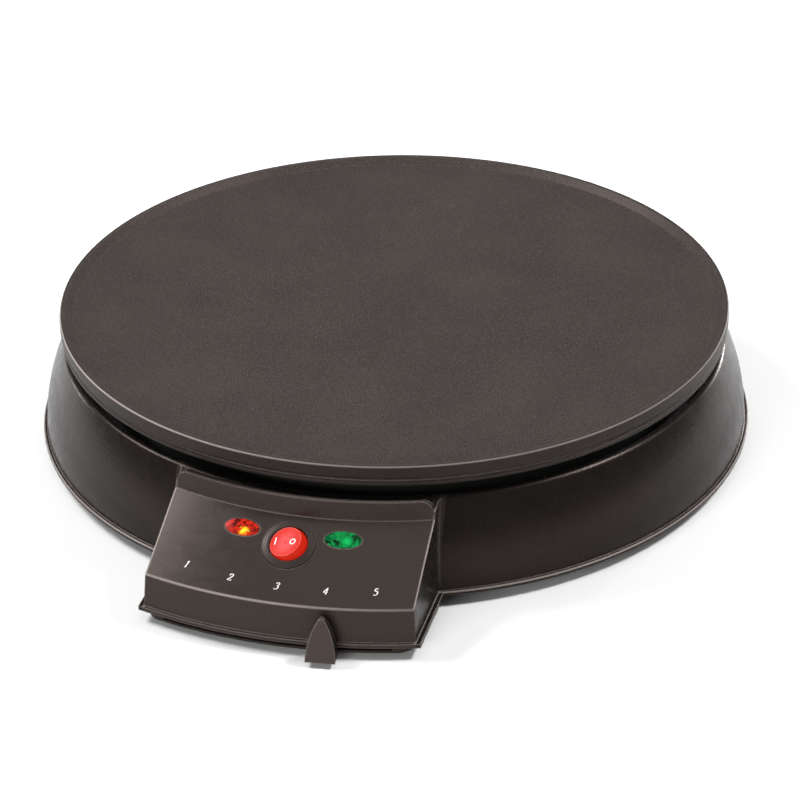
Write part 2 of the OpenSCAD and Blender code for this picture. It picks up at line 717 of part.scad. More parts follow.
module lever_pointer() color(black) placed() at(rest_deg) difference() {
    tip_r = (2 * pointer_side_r * pointer_w - pow(pointer_w, 2) - pow(pointer_h, 2))
        / (2 * (pointer_side_r - pointer_h));
    tip_a = atan2(pointer_h - tip_r, pointer_side_r - pointer_w);
    intersection() {
        out(pointer_back - 5, pointer_low) rotate([90, 0, 0]) linear_extrude(pointer_d + 10) {
            intersection() {
                translate([pointer_side_r - pointer_w, 0]) circle(r = pointer_side_r, $fn = 180);
                translate([pointer_w - pointer_side_r, 0]) circle(r = pointer_side_r, $fn = 180);
                translate([-pointer_w - 1, 0])
                    square([2 * pointer_w + 2, pointer_h - tip_r * (1 - sin(tip_a))]);
            }
            translate([0, pointer_h - tip_r]) circle(r = tip_r);
        }
        slab([[pointer_back, pointer_low - 1], [pointer_back + pointer_d, pointer_low - 1],
            [pointer_back + pointer_d, pointer_low], [pointer_back + pointer_tip_d, pointer_low + pointer_h],
            [pointer_back, pointer_low + pointer_h]], 3 * pointer_w);
    }
    slab([[pointer_back - 1, arm_low - 0.1], [tab_end + 0.2, arm_low - 0.1],
        [tab_end + 0.2, arm_low + arm_t + 0.1], [pointer_back - 1, arm_low + arm_t + 0.1]], tab_w + 0.2);
}

// ---- Switch and lamps ----

module switch_case() color([0.1, 0.1, 0.1]) placed() on_panel(0, switch_at) difference() {
    union() {
        revolve(rounded([[0, -bezel_sink, 0], [bezel_r, -bezel_sink, 0], [bezel_r, bezel_h / 2, 0.3],
            [rocker_bore + bezel_top, bezel_h, 0.3], [0, bezel_h, 0]]));
        translate([0, 0, -switch_d]) cylinder(r = switch_r, h = switch_d);
    }
    translate([0, 0, -bore_depth]) cylinder(r = rocker_bore, h = bore_depth + bezel_h + 1);
    translate([0, -pin_l / 2 - play, pivot_h]) rotate([-90, 0, 0])
        cylinder(r = pin_r + run, h = pin_l + 2 * play);
}

module rocker() color([0.85, 0.1, 0.1]) placed() on_panel(0, switch_at) translate([0, 0, pivot_h])
    rotate([0, -rocker_tilt, 0]) {
        difference() {
            intersection() {
                sphere(r = rocker_r);
                translate([0, 0, -rocker_low]) cylinder(r = rocker_r + 1, h = rocker_r + rocker_low);
            }
            translate([0, 0, dish_r + rocker_face]) sphere(r = dish_r);
        }
        translate([0, -pin_l / 2, 0]) rotate([-90, 0, 0]) cylinder(r = pin_r, h = pin_l);
    }

module switch_tabs() color(steel) placed() on_panel(0, switch_at)
    for (x = [-1, 0, 1]) translate([x * tab_pitch - tab_size.y / 2, -tab_size.x / 2, -switch_d - tab_size.z])
        cube([tab_size.y, tab_size.x, tab_size.z]);

module lens(side) placed() on_panel(side * lens_deg, lens_at) {
    intersection() {
        translate([0, 0, -wall - 0.5]) linear_extrude(wall + 2) polygon(oval(lens_w, lens_h));
        translate([0, 0, lens_rise - lens_dome]) sphere(r = lens_dome);
    }
    translate([0, 0, holder_top]) linear_extrude(lens_seat.z)
        polygon(oval(lens_w + lens_seat.x, lens_h + lens_seat.y));
}

module power_lens() color([0.8, 0.2, 0.1]) lens(-1);
module ready_lens() color([0.1, 0.6, 0.2]) lens(1);

module lamp_holders() color([0.85, 0.85, 0.8]) placed()
    for (side = [-1, 1]) on_panel(side * lens_deg, lens_at) difference() {
        translate([-holder_size.x / 2, -holder_size.y / 2, holder_top - holder_size.z]) cube(holder_size);
        translate([-holder_size.x, 0, lamp_z]) rotate([0, 90, 0])
            cylinder(r = lamp_r + play, h = 2 * holder_size.x);
        translate([-window.x / 2, -window.y / 2, lamp_z]) cube([window.x, window.y, holder_size.z]);
    }

module neon_lamps() color([1, 0.5, 0.3, 0.6]) placed()
    for (side = [-1, 1]) on_panel(side * lens_deg, lens_at)
        translate([-lamp_l / 2, 0, lamp_z]) rotate([0, 90, 0]) cylinder(r = lamp_r, h = lamp_l);

// ---- Inner electrical pieces ----

module block_screw_places() for (x = [-1, 0, 1], y = [-1, 1])
    translate([x * block_pitch.x, y * block_pitch.y, block_size.z - clamping_h]) children();

module terminal_block() color([0.9, 0.9, 0.88]) placed() translate([block_at.x, block_at.y, base_t])
difference() {
    union() {
        translate([-block_size.x / 2, -block_size.y / 2, 0]) cube(block_size);
        for (x = [-1, 0, 1]) translate([x * block_pitch.x, block_size.y / 2, block_size.z]) rotate([90, 0, 0])
            cylinder(r = barrel_r, h = block_size.y);
    }
    block_screw_places() cylinder(r = clamping_r + 0.1, h = clamping_h + barrel_r + 1);
    for (x = [-1, 0, 1]) translate([x * block_pitch.x, block_size.y, block_size.z / 2]) rotate([90, 0, 0])
        cylinder(r = wire_r, h = 2 * block_size.y);
}

module terminal_screws() color(steel) placed() translate([block_at.x, block_at.y, base_t])
    block_screw_places() difference() {
        cylinder(r = clamping_r, h = clamping_h);
        translate([-clamping_r, -0.3, clamping_h - 1]) cube([2 * clamping_r, 0.6, 2]);
    }

module thermal_fuse() color([0.95, 0.95, 0.9]) placed() at(fuse_at)
    out(fuse_ring, plate_z - fuse_r - 0.15) translate([-fuse_l / 2, 0, 0]) rotate([0, 90, 0])
        cylinder(r = fuse_r, h = fuse_l);

module fuse_clips() color(steel) placed() at(fuse_at) out(fuse_ring, fuse_clip_z - strap_t)
    strap(2 * fuse_hold, 2 * head_r + 1, strap_t, screw_r + play);

module element_tabs() color(steel) placed()
    at_cold_ends(cold_low) {
        translate([0, 0, -end_pin.y]) cylinder(r = end_pin.x, h = end_pin.y);
        translate([-tab_size.x / 2, -tab_size.y / 2, -end_pin.y - tab_size.z])
            cube([tab_size.x, tab_size.y, tab_size.z]);
    }

module cord_gland() color([0.08, 0.08, 0.08]) placed() translate([0, 0, gland_z]) rotate([-90, 0, 0])
difference() {
    gland_in = skirt_r - gland_boss_l - 4;
    union() {
        translate([0, 0, gland_in]) cylinder(r = gland_r, h = gland_pad - gland_in);
        translate([0, 0, gland_in + 2]) cylinder(r = gland_r + 1, h = 1.8);
        translate([0, 0, gland_pad]) cylinder(r1 = gland_r + 2, r2 = gland_r + 1, h = gland_end - gland_pad);
    }
    translate([0, 0, gland_in - 1]) cylinder(r = gland_bore, h = gland_end - gland_in + 2);
    translate([0, 0, gland_in - 1]) cylinder(r = gland_bore + 0.4, h = gland_end - gland_mouth - gland_in + 1);
}

// ---- Feet and screws ----

module feet() color([0.1, 0.1, 0.1]) placed() for (a = clamp_at) at(a) out(foot_ring) {
    translate([0, 0, -foot_h]) cylinder(r1 = foot_r - 1, r2 = foot_r, h = foot_h);
    cylinder(r = stem_r, h = base_t + 0.2);
    translate([0, 0, base_t + 0.2]) cylinder(r1 = stem_r + 0.8, r2 = stem_r - 0.6, h = 2);
}

module base_screws() color(steel) placed() {
    for (a = base_screw_at) at(a) out(base_screw_ring) screw(base_screw_l);
    for (side = [-1, 1]) translate([side * tray_screw.x, -tray_screw.y, head_h - tray_d]) screw(tray_screw_l);
}

base_shell();
base_plate();
hot_plate();
heating_element();
element_clamps();
clamp_screws();
heat_shield();
plate_studs();
stud_bushes();
stud_nuts();
thermostat_case();
thermostat_bracket();
bracket_screws();
spindle();
lever_arm();
arm_screw();
lever_pointer();
switch_case();
rocker();
switch_tabs();
power_lens();
ready_lens();
lamp_holders();
neon_lamps();
terminal_block();
terminal_screws();
thermal_fuse();
fuse_clips();
element_tabs();
cord_gland();
feet();
base_screws();
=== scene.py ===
import json
from functools import reduce
from math import atan2, cos, hypot, pi, radians, sin, sqrt

import bmesh
import bpy
from mathutils import Euler, Matrix, Vector


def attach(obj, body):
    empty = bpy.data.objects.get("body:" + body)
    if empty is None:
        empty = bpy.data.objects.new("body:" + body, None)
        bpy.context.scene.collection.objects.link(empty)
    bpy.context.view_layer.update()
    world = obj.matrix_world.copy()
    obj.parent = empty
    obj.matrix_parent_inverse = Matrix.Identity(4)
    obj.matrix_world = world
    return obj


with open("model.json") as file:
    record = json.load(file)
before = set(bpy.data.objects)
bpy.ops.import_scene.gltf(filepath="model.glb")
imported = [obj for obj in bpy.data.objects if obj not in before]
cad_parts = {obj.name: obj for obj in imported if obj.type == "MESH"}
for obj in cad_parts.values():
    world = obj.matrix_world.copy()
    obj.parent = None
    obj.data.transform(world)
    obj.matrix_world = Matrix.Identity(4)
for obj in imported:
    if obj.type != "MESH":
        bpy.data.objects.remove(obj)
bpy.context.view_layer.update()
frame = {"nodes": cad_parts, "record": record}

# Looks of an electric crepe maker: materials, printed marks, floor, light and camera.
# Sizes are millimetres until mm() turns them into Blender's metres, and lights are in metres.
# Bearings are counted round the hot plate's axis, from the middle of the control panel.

# Shapes, repeated from the CAD source; a pair is a radius about the hot plate's axis and a height
AXIS_Y = 20.875             # the axis, in the object's frame
FOOT_H = 5.0                # underside of the flange above the table
PANEL_TOP = (162.2, 36.2)   # the panel's edges, above the flange's underside
PANEL_LOW = (200.7, 17.0)
HOUSING_W = 59.7            # half of the control housing's width at the flange
CHEEK_DRAFT = 0.063         # inward lean of the housing's cheeks, mm per mm of height
PLATE_R = 155.0             # radius of the hot plate
RIM_TOP = (154.75, 63.35)   # middle of the rounded edge on top of the rim, above the table
FLANGE_TOP = (165.95, 6.85)  # middle of the rounded edge on top of the flange, above the table
STEP_DEG = 6.2              # bearing between two numbers
SWITCH_AT = 14.5            # switch's middle below the panel's upper edge, along the slope
LENS_AT = 9.7               # the lenses, like the switch, and their bearing to either side
LENS_DEG = 7.45
PIVOT_H = -1.5              # rocker's pivot above the panel
ROCKER_TILT = 16.0          # at rest, to the side of the I
ROCKER_DISH = (43.4, 40.0)  # height of the centre and radius of the sphere that hollows the face
SHARP_DEG = 32              # smallest angle between faces that shows as an edge

# Where the shell's looks change, in the object's frame
HOUSING_Y = -100.0          # back of the satin control housing
PANEL_Y = -126.0            # back of the painted highlight on the panel's edges

# Print
NUMBER_AT = (32.9, 34.2, 34.7, 34.8, 34.2)  # middles of the numbers below the panel's upper edge
NUMBER_H = 3.3
SLANT = 0.2                 # lean of the italic numbers
PRINT_LIFT = 0.06           # top of the ink above the surface
INK_DEPTH = 0.1             # thickness of the ink, which sinks into the surface
MARK_W = 0.45               # pen width of the rocker's marks
OFF_AT, OFF_R = (3.2, 0.3), 1.4     # middle and outer radius of the O
ON_AT, ON_H = (-5.0, 0.6), 3.4      # middle and height of the I
OFF_STEPS, ON_STEPS = 32, 6         # pairs of points along each mark

# Camera, solved from the photograph's ellipses
CAMERA_AT = (318.4, -1150.9, 699.8)
CAMERA_TURN = (60.309, 0.771, 14.667)
LENS_MM = 132.6
SENSOR_MM = 36

# Light: place and aim, width and height (m), power (W)
WORLD_LIGHT = 0.12
TARGET = (0, 0, 0.03)       # aim of most lights
LIGHTS = {
    "overhead": ((0, 0.1, 1.8), (0, 0.05, 0), (1.0, 1.0), 4),
    "left": ((-1.1, 0.12, 1.27), TARGET, (0.7, 0.45), 24),
    "left_low": ((-1.4, 0.45, 0.28), TARGET, (0.25, 0.35), 3),
    "right": ((0.96, 0.28, 1.25), TARGET, (0.3, 0.3), 20),
    "right_low": ((0.72, 1.2, 0.16), TARGET, (0.25, 0.2), 7),
    "front_left": ((-0.31, -1.3, 0.3), (0, -0.17, 0.03), (0.6, 0.5), 9),
}
FLOOR_HALF = 4.0            # half of the floor's side (m)

WARM = (1.0, 0.8, 0.72, 1.0)        # tint of the dark plastic's and the coating's gloss
HIGHLIGHT = (0.3, 0.26, 0.245)      # painted highlight on the shell's and the plate's rounded edges
SATIN = (0.029, 0.0228, 0.0202)     # the control housing
NOISE_RANGE = (0.3, 0.7)            # values that noise seldom leaves
ROCKER_FADE = (8.4, 4.0)            # blend of the wall's and the middle's colour, from the pivot
LAMP_FADE = (3.5, 1.1)              # end and start of a lamp's fading glow, from its middle
MIX_A, MIX_B, MIX_RESULT = 6, 7, 2  # colour sockets of a Mix node

slope = atan2(PANEL_TOP[1] - PANEL_LOW[1], PANEL_LOW[0] - PANEL_TOP[0])


def mm(v):
    """Millimetres to metres, for a number or a point."""
    return v / 1000 if isinstance(v, (int, float)) else Vector(v) / 1000


# ---- Places ----

def panel_frame(deg, along):
    """Matrix whose origin is a point of the panel, +Y uphill and +Z along the normal (mm)."""
    radius = PANEL_TOP[0] + along * cos(slope)
    height = PANEL_TOP[1] - along * sin(slope) + FOOT_H
    place = Matrix.Translation((0, AXIS_Y, 0)) @ Matrix.Rotation(radians(deg), 4, "Z")
    return place @ Matrix.Translation((0, -radius, height)) @ Matrix.Rotation(slope, 4, "X")


def on_cone(deg, along, across, up, lift):
    """Point of the panel's cone, across and uphill from a place on it (mm)."""
    along -= up
    radius = PANEL_TOP[0] + along * cos(slope)
    turn = deg + across / radius * 180 / pi
    return panel_frame(turn, along) @ Vector((0, 0, lift))


def rocker_frame(tilt=0):
    """Matrix of the rocker's pivot, turned to one side by tilt degrees (mm)."""
    pivot = panel_frame(0, SWITCH_AT) @ Matrix.Translation((0, 0, PIVOT_H))
    return pivot @ Matrix.Rotation(radians(-tilt), 4, "Y")


# ---- Node helpers ----

class Shader:
    """Builds one material's nodes around a Principled shader."""

    def __init__(self, name, color, **sockets):
        self.material = bpy.data.materials.new(name)
        self.material.use_nodes = True
        self.tree = self.material.node_tree
        self.bsdf = self.tree.nodes["Principled BSDF"]
        self.bsdf.inputs["Base Color"].default_value = (*color, 1)
        for socket, value in sockets.items():
            self.bsdf.inputs[socket.replace("_", " ")].default_value = value
        self.place = self.add("ShaderNodeTexCoord").outputs["Object"]

    def add(self, kind, inputs=None, **settings):
        node = self.tree.nodes.new(kind)
        for key, value in settings.items():
            setattr(node, key, value)
        for key, value in (inputs or {}).items():
            if isinstance(value, bpy.types.NodeSocket):
                self.tree.links.new(value, node.inputs[key])
            else:
                node.inputs[key].default_value = value
        return node

    def set(self, socket, value):
        """Links a value to a socket of the Principled shader."""
        self.tree.links.new(value, self.bsdf.inputs[socket])

    # Patterns

    def noise(self, size, detail=3, roughness=0.5):
        """Noise with features about size mm wide."""
        return self.add("ShaderNodeTexNoise", {"Vector": self.place, "Scale": 1000 / size,
                        "Detail": detail, "Roughness": roughness}).outputs["Fac"]

    def spread(self, noise, *ends):
        """Noise stretched from its usual range to 0 and 1, or to two other ends."""
        return self.ramp(noise, *NOISE_RANGE, *ends)

    def cells(self, size):
        """Outputs of a pattern of cells about size mm wide."""
        cells = self.add("ShaderNodeTexVoronoi", {"Vector": self.place, "Scale": 1000 / size})
        return cells.outputs

    # Sums and blends

    def math(self, operation, a, b=0.0):
        return self.add("ShaderNodeMath", {0: a, 1: b}, operation=operation).outputs[0]

    def times(self, *values):
        return reduce(lambda a, b: self.math("MULTIPLY", a, b), values)

    def strongest(self, *values):
        return reduce(lambda a, b: self.math("MAXIMUM", a, b), values)

    def hypot(self, a, b):
        return self.math("SQRT", self.math("ADD", self.times(a, a), self.times(b, b)))

    def ramp(self, value, low, high, to_low=0.0, to_high=1.0):
        return self.add("ShaderNodeMapRange", {"Value": value, "From Min": low, "From Max": high,
                        "To Min": to_low, "To Max": to_high}).outputs["Result"]

    def ramp_mm(self, value, low, high, *ends):
        """Ramp of a value in metres between limits in mm."""
        return self.ramp(value, mm(low), mm(high), *ends)

    def mix(self, factor, a, b):
        """Colour a where factor is 0 and b where it is 1."""
        node = self.add("ShaderNodeMix", {"Factor": factor}, data_type="RGBA")
        for socket, value in ((node.inputs[MIX_A], a), (node.inputs[MIX_B], b)):
            if isinstance(value, bpy.types.NodeSocket):
                self.tree.links.new(value, socket)
            else:
                socket.default_value = (*value, 1)
        return node.outputs[MIX_RESULT]

    # Places and directions

    def split(self, vector):
        """X, Y and Z of a vector."""
        return self.add("ShaderNodeSeparateXYZ", {"Vector": vector}).outputs

    def distance(self, point):
        """Distance to a point, both in mm."""
        ends = {0: self.place, 1: tuple(mm(point))}
        away = self.add("ShaderNodeVectorMath", ends, operation="DISTANCE").outputs["Value"]
        return self.times(away, 1000.0)

    def axis_distance(self):
        """Distance from the hot plate's axis, in metres."""
        x, y, _ = self.split(self.place)
        return self.hypot(x, self.math("SUBTRACT", y, mm(AXIS_Y)))

    def ring_line(self, radius, height, near, far):
        """1 along a circle round the hot plate's axis, fading out between two distances (mm)."""
        out = self.math("SUBTRACT", self.axis_distance(), mm(radius))
        up = self.math("SUBTRACT", self.split(self.place)[2], mm(height))
        return self.ramp_mm(self.hypot(out, up), far, near)

    def normal(self):
        return self.add("ShaderNodeNewGeometry").outputs["Normal"]

    def bevel(self, radius):
        return self.add("ShaderNodeBevel", {"Radius": mm(radius)}, samples=4).outputs["Normal"]

    def edge(self, radius):
        """Mask of a painted highlight: 1 on edges that a bevel of that radius would round, less on
        low ones and on edges not facing up, 0 on flat areas.
        """
        rounded = self.bevel(radius)
        pair = {0: rounded, 1: self.normal()}
        alike = self.add("ShaderNodeVectorMath", pair, operation="DOT_PRODUCT").outputs["Value"]
        turned = self.ramp(self.math("SUBTRACT", 1.0, alike), 0.01, 0.1)
        # painted highlight strongest where an edge faces up towards the lights
        faces_up = self.ramp(self.split(rounded)[2], 0.1, 0.5, 0.25, 1.0)
        return self.times(turned, faces_up)

    def bump(self, height, distance, strength, rounding=None):
        """Relief of a height pattern, over edges rounded by a radius (mm)."""
        inputs = {"Height": height, "Distance": mm(distance), "Strength": strength}
        if rounding:
            inputs["Normal"] = self.bevel(rounding)
        self.set("Normal", self.add("ShaderNodeBump", inputs).outputs["Normal"])


def scaled(color, by):
    """A colour made lighter or darker, up to white."""
    return tuple(min(1, c * by) for c in color)


# ---- Materials ----

def moulded(name, color, light, painted_edge_highlight, roughness, grain,
            rounding=0.5, specular=0.2, dress=None):
    """Moulded plastic: fine grain, faint mottling and a painted highlight along thin edges."""
    s = Shader(name, color, Specular_IOR_Level=specular, Specular_Tint=WARM)
    body = s.mix(s.spread(s.noise(14, 4)), color, light)
    edges = s.edge(rounding)
    if dress:
        body, edges = dress(s, body, edges)
    # edges lightened in colour: a painted highlight
    s.set("Base Color", s.mix(s.times(edges, 0.8), body, painted_edge_highlight))
    s.set("Roughness", s.spread(s.noise(6, 3), roughness - 0.04, roughness + 0.05))
    s.bump(s.noise(0.45, 2), grain, 0.35, rounding)
    return s.material


def dress_shell(s, body, edges):
    """Satin control housing, its sideways-facing cheeks left in the darker shell colour as painted
    shade, with painted highlights along the edges of its panel and of the flange.
    """
    x, y, z = s.split(s.place)
    across = s.math("ABSOLUTE", x)
    lean = s.times(s.math("SUBTRACT", z, mm(FOOT_H)), CHEEK_DRAFT)
    across_at_flange = s.math("ADD", across, lean)
    facing = s.split(s.normal())
    # satin colour of the housing, kept off its sideways-facing cheeks as painted shade
    housing = s.times(s.ramp_mm(across, HOUSING_W + 0.3, HOUSING_W),
                      s.ramp_mm(y, HOUSING_Y, HOUSING_Y - 1),
                      s.ramp(s.math("ABSOLUTE", facing[0]), 0.85, 0.7))
    # painted highlight along the panel's lower edge, brighter towards the left, and along its
    # upward-facing side edges
    front = s.times(s.ring_line(PANEL_LOW[0], PANEL_LOW[1] + FOOT_H, 0.4, 0.8),
                    s.ramp_mm(x, -20, 60, 1.0, 0.5))
    sides = s.times(s.ramp_mm(across_at_flange, HOUSING_W - 0.75, HOUSING_W - 0.35),
                    s.ramp(facing[2], 0.5, 0.7))
    panel = s.times(housing, s.ramp_mm(y, PANEL_Y, PANEL_Y - 2), s.strongest(front, sides))
    # painted highlight on edges, on the panel's edges and along the flange's top edge
    painted_highlight_lines = s.strongest(edges, panel, s.ring_line(*FLANGE_TOP, 0.3, 0.6))
    return s.mix(housing, body, SATIN), painted_highlight_lines


def coated_plate():
    """Charcoal non-stick coating with sandy speckle, painted shade on the outer wall and a painted
    highlight along the rim.
    """
    s = Shader("nonstick_coating", (0.05, 0.05, 0.05), Specular_IOR_Level=0.15, Specular_Tint=WARM)
    cloud = s.spread(s.noise(40, 3))
    dust = s.ramp(s.noise(0.55, 2, 0.6), 0.5, 0.72)
    flecks = s.ramp(s.cells(1.5)["Distance"], 0.12, 0.3, 1.0, 0.0)
    # painted shade: the outer wall darker than the coating on top
    wall = s.ramp_mm(s.axis_distance(), PLATE_R - 1.4, PLATE_R - 0.8, 0, 0.75)
    body = s.mix(cloud, (0.034, 0.027, 0.025), (0.043, 0.035, 0.032))
    body = s.mix(s.times(dust, 0.5), body, (0.16, 0.136, 0.128))
    body = s.mix(s.times(flecks, 0.4), body, (0.012, 0.01, 0.009))
    body = s.mix(wall, body, (0.01, 0.008, 0.0075))
    x = s.split(s.place)[0]
    # painted highlight along the rim's rounded top edge, brighter towards the left, and on the
    # plate's other edges
    rim = s.times(s.ring_line(*RIM_TOP, 0.2, 0.6), s.ramp_mm(x, -90, 20, 1.0, 0.55))
    edges = s.strongest(s.times(s.edge(0.7), 0.6), rim)
    s.set("Base Color", s.mix(edges, body, HIGHLIGHT))
    s.set("Roughness", s.ramp(dust, 0, 1, 0.42, 0.6))
    s.bump(s.math("ADD", dust, flecks), 0.06, 0.5, 0.8)
    return s.material


def metal(name, color, roughness, scratch=0.15, metallic=1.0):
    """Sheet or turned metal with fine drawing marks."""
    s = Shader(name, color, Metallic=metallic)
    drawn = s.add("ShaderNodeMapping", {"Vector": s.place, "Scale": (60, 1500, 1500)}).outputs[0]
    streaks = s.add("ShaderNodeTexNoise",
                    {"Vector": drawn, "Scale": 1.0, "Detail": 3}).outputs["Fac"]
    s.set("Base Color", s.mix(s.spread(s.noise(5, 3)), color, scaled(color, 0.8)))
    s.set("Roughness", s.spread(streaks, roughness - scratch / 2, roughness + scratch / 2))
    s.bump(streaks, 0.01, 0.3, 0.25)
    return s.material


def plain_body(name, color, roughness, size=2.0, depth=0.02):
    """Rubber, ceramic or inner plastic: slight mottling and grain."""
    s = Shader(name, color)
    grain = s.noise(size, 4)
    s.set("Base Color", s.mix(s.spread(grain), color, scaled(color, 1.25)))
    s.set("Roughness", s.spread(grain, roughness - 0.05, roughness + 0.05))
    s.bump(s.noise(size / 4, 3), depth, 0.5, 0.3)
    return s.material


def rocker_plastic():
    """Clear red plastic lit from inside, more orange towards its wall, with a painted highlight
    along its edges.
    """
    s = Shader("rocker_red", (0.5, 0.01, 0.007), Roughness=0.32, IOR=1.45, Specular_IOR_Level=0.12)
    middle = s.ramp(s.distance(rocker_frame().translation), *ROCKER_FADE)
    body = s.mix(middle, (0.42, 0.012, 0.004), (0.44, 0.007, 0.006))
    # pale pink edges: a painted highlight
    s.set("Base Color", s.mix(s.times(s.edge(0.4), 0.5), body, (1.0, 0.5, 0.45)))
    s.set("Emission Color", s.mix(middle, (0.7, 0.02, 0.006), (0.75, 0.015, 0.012)))
    s.bsdf.inputs["Emission Strength"].default_value = 0.3
    s.bump(s.noise(1.2, 2), 0.01, 0.2, 0.25)
    return s.material


def lens_plastic(name, dark, light, glow, side, glow_at, strength):
    """Clear lens of dark and light cells, with a lamp's glow at a place near its middle (mm)."""
    s = Shader(name, light, Roughness=0.2, IOR=1.45, Specular_IOR_Level=0.08)
    shade = s.add("ShaderNodeSeparateColor", {"Color": s.cells(1.7)["Color"]}).outputs[0]
    body = s.mix(s.ramp(s.math("ADD", shade, s.noise(1.1, 3, 0.7)), 0.55, 1.35), dark, light)
    away = s.distance(panel_frame(side * LENS_DEG, LENS_AT) @ Vector(glow_at))
    lamp = s.ramp(s.math("ADD", away, s.times(shade, 1.6)), *LAMP_FADE)
    color = s.mix(lamp, body, glow)
    s.set("Base Color", color)
    s.set("Emission Color", color)
    s.set("Emission Strength", s.ramp(lamp, 0, 1, 0.12, strength))
    s.bump(shade, 0.1, 0.25, 0.3)
    return s.material


def ink(name, color):
    """Printing ink, laid on a little unevenly."""
    s = Shader(name, color, Roughness=0.45)
    s.set("Base Color", s.mix(s.ramp(s.noise(0.5, 2), 0.35, 0.65), color, scaled(color, 0.85)))
    s.bump(s.noise(0.3, 2), 0.01, 0.3)
    return s.material


# A finish for each material slot of the record
# a moulded plastic's fourth colour is the painted highlight on its edges
looks = {
    "shell_plastic": moulded("shell_plastic", (0.0095, 0.0074, 0.0066), (0.0115, 0.009, 0.008),
                             HIGHLIGHT, 0.27, 0.03, 0.9, 0.17, dress_shell),
    "base_plastic": moulded("base_plastic", (0.013, 0.0105, 0.0095), (0.016, 0.013, 0.012),
                            (0.04, 0.034, 0.032), 0.5, 0.05),
    "coated_aluminium": coated_plate(),
    "heater_sheath": metal("heater_sheath", (0.2, 0.185, 0.17), 0.5, 0.2),
    "steel": metal("zinc_steel", (0.62, 0.61, 0.6), 0.34),
    "dark_sheet": metal("dark_sheet", (0.02, 0.019, 0.018), 0.55, 0.2, 0.2),
    "brass": metal("brass", (0.72, 0.52, 0.22), 0.32),
    "ceramic": plain_body("ceramic", (0.7, 0.66, 0.58), 0.6),
    "switch_plastic": moulded("switch_plastic", (0.027, 0.0215, 0.019), (0.031, 0.025, 0.022),
                              (0.1, 0.085, 0.08), 0.38, 0.012, 0.25),
    "rocker_red": rocker_plastic(),
    "lens_red": lens_plastic("lens_red", (0.06, 0.002, 0.001), (0.45, 0.015, 0.006),
                             (1.0, 0.45, 0.02), -1, (1.4, -2.1, 0), 1.2),
    "lens_green": lens_plastic("lens_green", (0.0, 0.015, 0.005), (0.002, 0.2, 0.045),
                               (0.004, 0.38, 0.08), 1, (1.6, -0.6, 0), 0.25),
    "lamp_glass": plain_body("lamp_glass", (0.8, 0.35, 0.2), 0.15),
    "white_plastic": plain_body("white_plastic", (0.74, 0.72, 0.66), 0.45),
    "rubber": plain_body("rubber", (0.018, 0.017, 0.017), 0.75, 1.5, 0.05),
}
white_ink = ink("white_ink", (0.86, 0.86, 0.84))
node_slot = {part["node"]: part["material_slot"] for part in frame["record"]["subparts"]}


def shade_by_angle(mesh, degrees):
    """Smooth shading that keeps edges above an angle sharp."""
    limit = cos(radians(degrees))
    work = bmesh.new()
    work.from_mesh(mesh)
    for face in work.faces:
        face.smooth = True
    for edge in work.edges:
        pair = edge.link_faces
        edge.smooth = len(pair) == 2 and pair[0].normal.dot(pair[1].normal) > limit
    work.to_mesh(mesh)
    work.free()


for name, node in frame["nodes"].items():
    shade_by_angle(node.data, SHARP_DEG)
    for slot in node.material_slots:
        slot.material = looks[node_slot[name]]


# ---- Printed marks ----

def linked(name, data):
    """New object of the scene."""
    obj = bpy.data.objects.new(name, data)
    bpy.context.scene.collection.objects.link(obj)
    return obj


def printed(name, verts, faces, body):
    """Layer of ink from points in mm; faces are listed anticlockwise as seen from outside."""
    mesh = bpy.data.meshes.new(name)
    mesh.from_pydata([tuple(mm(v)) for v in verts], [], faces)
    mesh.materials.append(white_ink)
    obj = linked(name, mesh)
    layer = obj.modifiers.new("ink", "SOLIDIFY")
    layer.thickness = mm(INK_DEPTH)
    layer.offset = -1
    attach(obj, body)


def strip(start, rows):
    """Faces between successive pairs of points (left, right), the first pair at index start."""
    firsts = range(start, start + 2 * (rows - 1), 2)
    return [(i, i + 1, i + 3, i + 2) for i in firsts]


# Pen strokes of the numbers, in a box 1 high and about GLYPH_W wide: x to the right, y up
GLYPH_W = 0.5
GLYPHS = {
    "1": [[(0.02, 0.8), (0.12, 0.86), (0.22, 0.98), (0.22, 0.5), (0.22, 0.02)],
          [(0.08, 0.02), (0.36, 0.02)]],
    "2": [[(0.03, 0.76), (0.08, 0.92), (0.24, 0.99), (0.42, 0.93), (0.47, 0.75), (0.38, 0.55),
           (0.2, 0.32), (0.0, 0.05)],
          [(0.0, 0.06), (0.2, 0.06), (0.44, 0.05), (0.5, 0.2)]],
    "3": [[(0.05, 0.82), (0.12, 0.95), (0.27, 0.99), (0.42, 0.9), (0.43, 0.72), (0.32, 0.58),
           (0.18, 0.54)],
          [(0.18, 0.54), (0.36, 0.5), (0.46, 0.34), (0.42, 0.14), (0.26, 0.01), (0.08, 0.03),
           (0.0, 0.12)]],
    "4": [[(0.36, 0.98), (0.18, 0.66), (0.0, 0.32), (0.28, 0.32), (0.52, 0.32)],
          [(0.36, 0.98), (0.36, 0.5), (0.36, 0.02)]],
    "5": [[(0.48, 0.97), (0.3, 0.95), (0.14, 0.95), (0.08, 0.58)],
          [(0.08, 0.58), (0.26, 0.62), (0.43, 0.5), (0.46, 0.28), (0.36, 0.08), (0.16, 0.0),
           (0.0, 0.08)]],
}
THIN, THICK = 0.065, 0.145  # pen widths of strokes that run across and down, per height


def smooth_path(points, steps=6):
    """Catmull-Rom curve through the points."""
    ends = [points[0], *points, points[-1]]
    path = []
    for corners in zip(ends, ends[1:], ends[2:], ends[3:]):
        for i in range(steps):
            t = i / steps
            path.append(tuple(0.5 * (2 * q + (r - p) * t + (2 * p - 5 * q + 4 * r - s) * t * t
                        + (3 * q - p - 3 * r + s) * t ** 3) for p, q, r, s in zip(*corners)))
    return path + [points[-1]]


